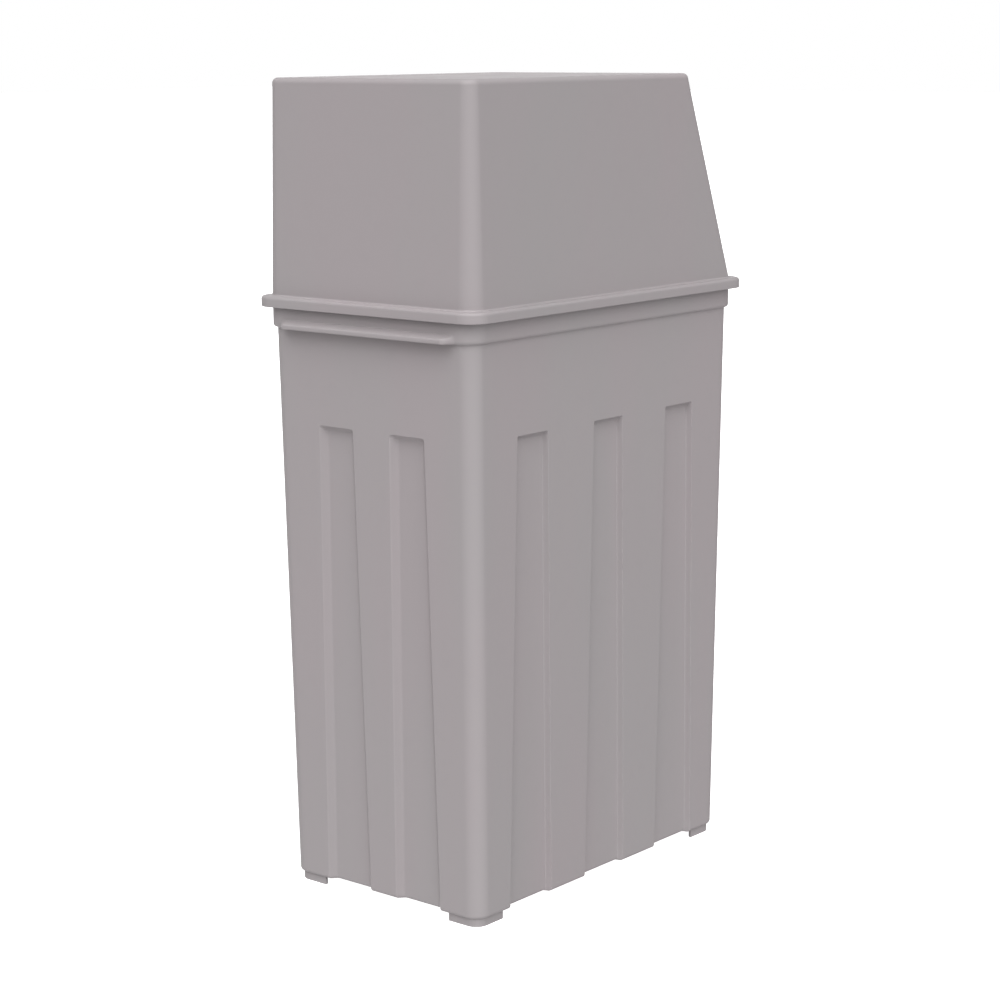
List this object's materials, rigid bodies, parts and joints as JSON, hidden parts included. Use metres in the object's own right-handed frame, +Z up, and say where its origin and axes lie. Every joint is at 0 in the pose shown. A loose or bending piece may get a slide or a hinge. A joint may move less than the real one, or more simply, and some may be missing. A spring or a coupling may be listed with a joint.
{
  "type": "dog waste bin",
  "caption": "Slim free-standing waste bin: tapered rectangular body with recessed channels, lift-off hood with a slanted front, spring-closed push flap and a bag ring.",
  "frame": {"origin": "on the ground, under the middle of the bin's bounding box", "axes": "+Z up, -Y towards the slanted front with the flap, +X to the left hand of someone facing the front"},
  "size_m": [0.2894, 0.447, 0.82],
  "materials": {
    "body_plastic": "fine-textured warm grey moulded polyethylene",
    "hood_plastic": "fine-textured warm grey moulded polyethylene",
    "flap_plastic": "fine-textured warm grey moulded polyethylene",
    "zinc_steel": "bright zinc plate",
    "spring_steel": "drawn stainless wire",
    "bumper_rubber": "soft black rubber"
  },
  "bodies": {
    "bin": {"bin_body": "body_plastic"},
    "bag_ring": {"bag_ring": "zinc_steel"},
    "hood": {"hood": "hood_plastic", "hinge_rod": "zinc_steel", "hinge_bracket_left": "zinc_steel", "hinge_bracket_right": "zinc_steel", "bracket_screws": "zinc_steel", "rod_clips": "spring_steel", "torsion_spring_left": "spring_steel", "torsion_spring_right": "spring_steel"},
    "flap": {"flap": "flap_plastic", "flap_bumper_left": "bumper_rubber", "flap_bumper_right": "bumper_rubber"}
  },
  "joints": [
    {"name": "hood_lift", "type": "slide", "parent": "bin", "child": "hood", "axis": [0, 0, 1], "range_m": [0, 0.3]},
    {"name": "ring_lift", "type": "slide", "parent": "bin", "child": "bag_ring", "axis": [0, 0, 1], "range_m": [0, 0.15]},
    {"name": "flap_swing", "type": "hinge", "parent": "hood", "child": "flap", "pos_m": [0, -0.13243, 0.79051], "axis": [1, 0, 0], "range_deg": [0, 75], "stiffness_Nm_per_rad": 0.05, "springref_deg": -80.21, "deforming": ["torsion_spring_left", "torsion_spring_right"]}
  ],
  "couplings": [
    {"joint": "ring_lift", "follows": "hood_lift", "ratio": 0.5}
  ]
}
